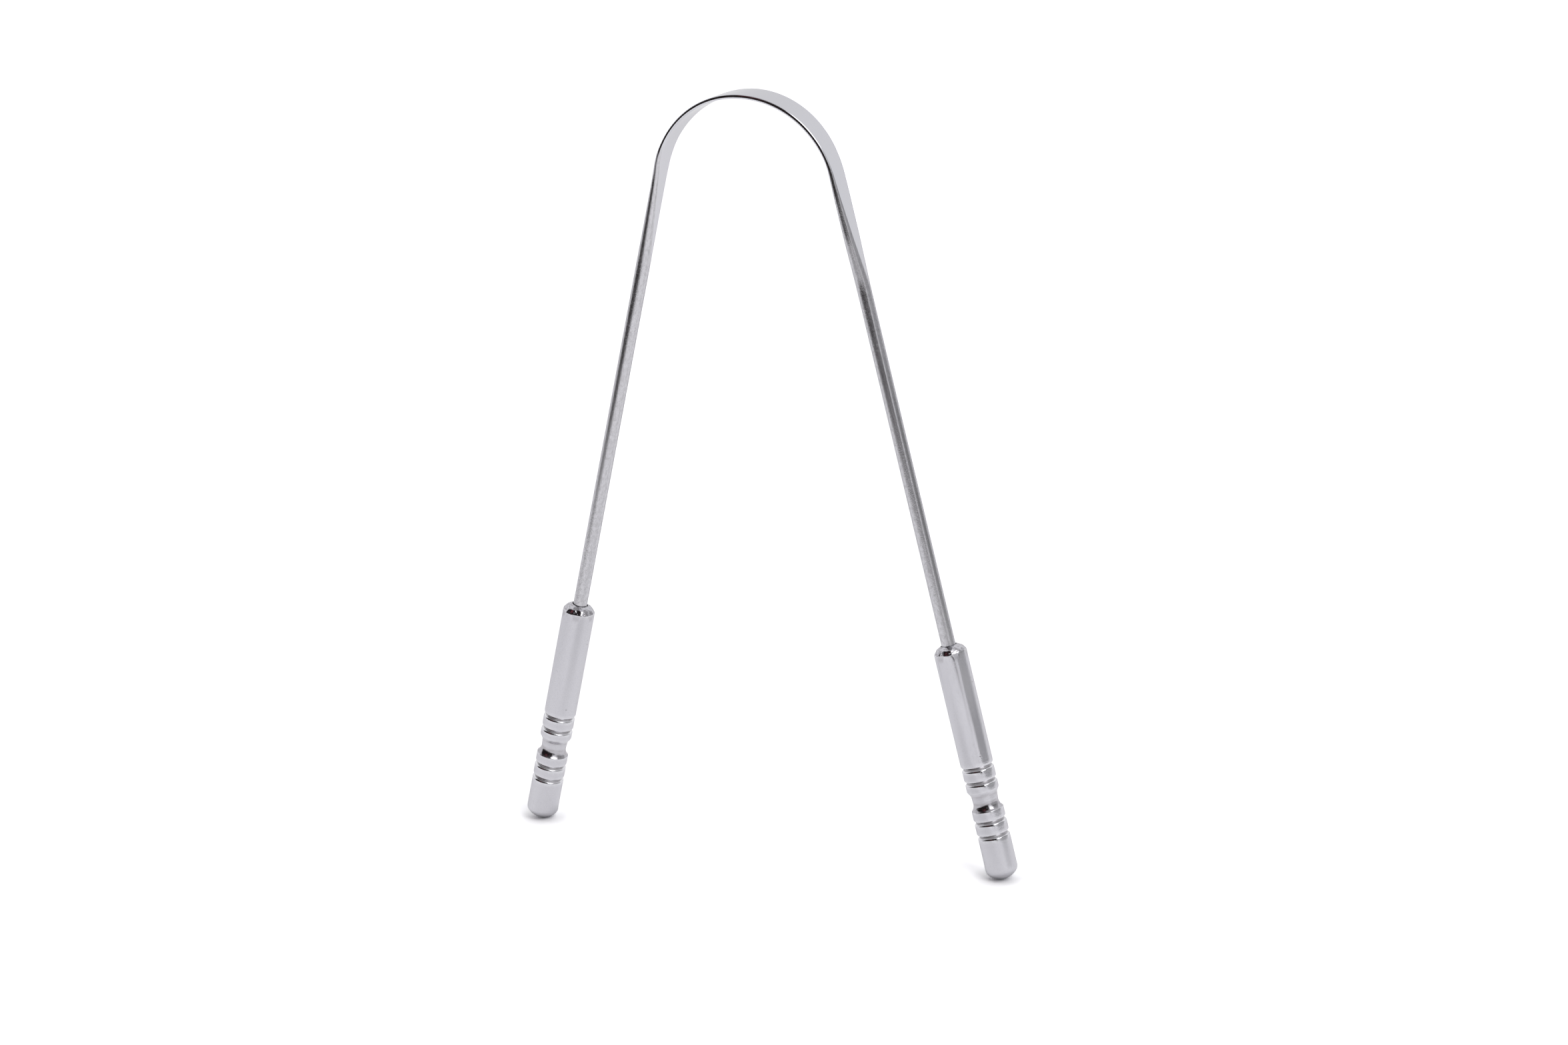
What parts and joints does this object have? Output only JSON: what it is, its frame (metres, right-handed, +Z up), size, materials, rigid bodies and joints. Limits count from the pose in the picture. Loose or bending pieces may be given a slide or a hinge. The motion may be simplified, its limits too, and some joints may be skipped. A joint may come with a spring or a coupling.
{
  "type": "tongue scraper",
  "caption": "U-shaped steel wire bow with a thin flattened arch that scrapes the tongue, and a turned grip crimped on each end.",
  "frame": {"origin": "on the ground, midway between the feet and midway through the depth of the bow", "axes": "+Z up from the feet to the top of the arch, +X from the left grip to the right grip, +Y to the back, along the width of the strip"},
  "size_m": [0.0996, 0.0074, 0.141],
  "materials": {
    "polished_strip": "satin mirror",
    "drawn_wire": "fine matt grain",
    "turned_grip": "satin polish"
  },
  "bodies": {
    "strip": {"scraping_strip": "polished_strip"},
    "left_handle": {"left_arm": "drawn_wire", "left_grip": "turned_grip"},
    "right_handle": {"right_arm": "drawn_wire", "right_grip": "turned_grip"}
  },
  "joints": [
    {"name": "left_spring", "type": "hinge", "parent": "strip", "child": "left_handle", "pos_m": [-0.01109, 0, 0.13669], "axis": [0, -1, 0], "range_deg": [-4, 6], "stiffness_Nm_per_rad": 2.5, "deforming": ["scraping_strip"]},
    {"name": "right_spring", "type": "hinge", "parent": "strip", "child": "right_handle", "pos_m": [0.01109, 0, 0.13669], "axis": [0, 1, 0], "range_deg": [-4, 6], "stiffness_Nm_per_rad": 2.5, "deforming": ["scraping_strip"]}
  ],
  "couplings": [
    {"joint": "right_spring", "follows": "left_spring", "ratio": 1}
  ]
}
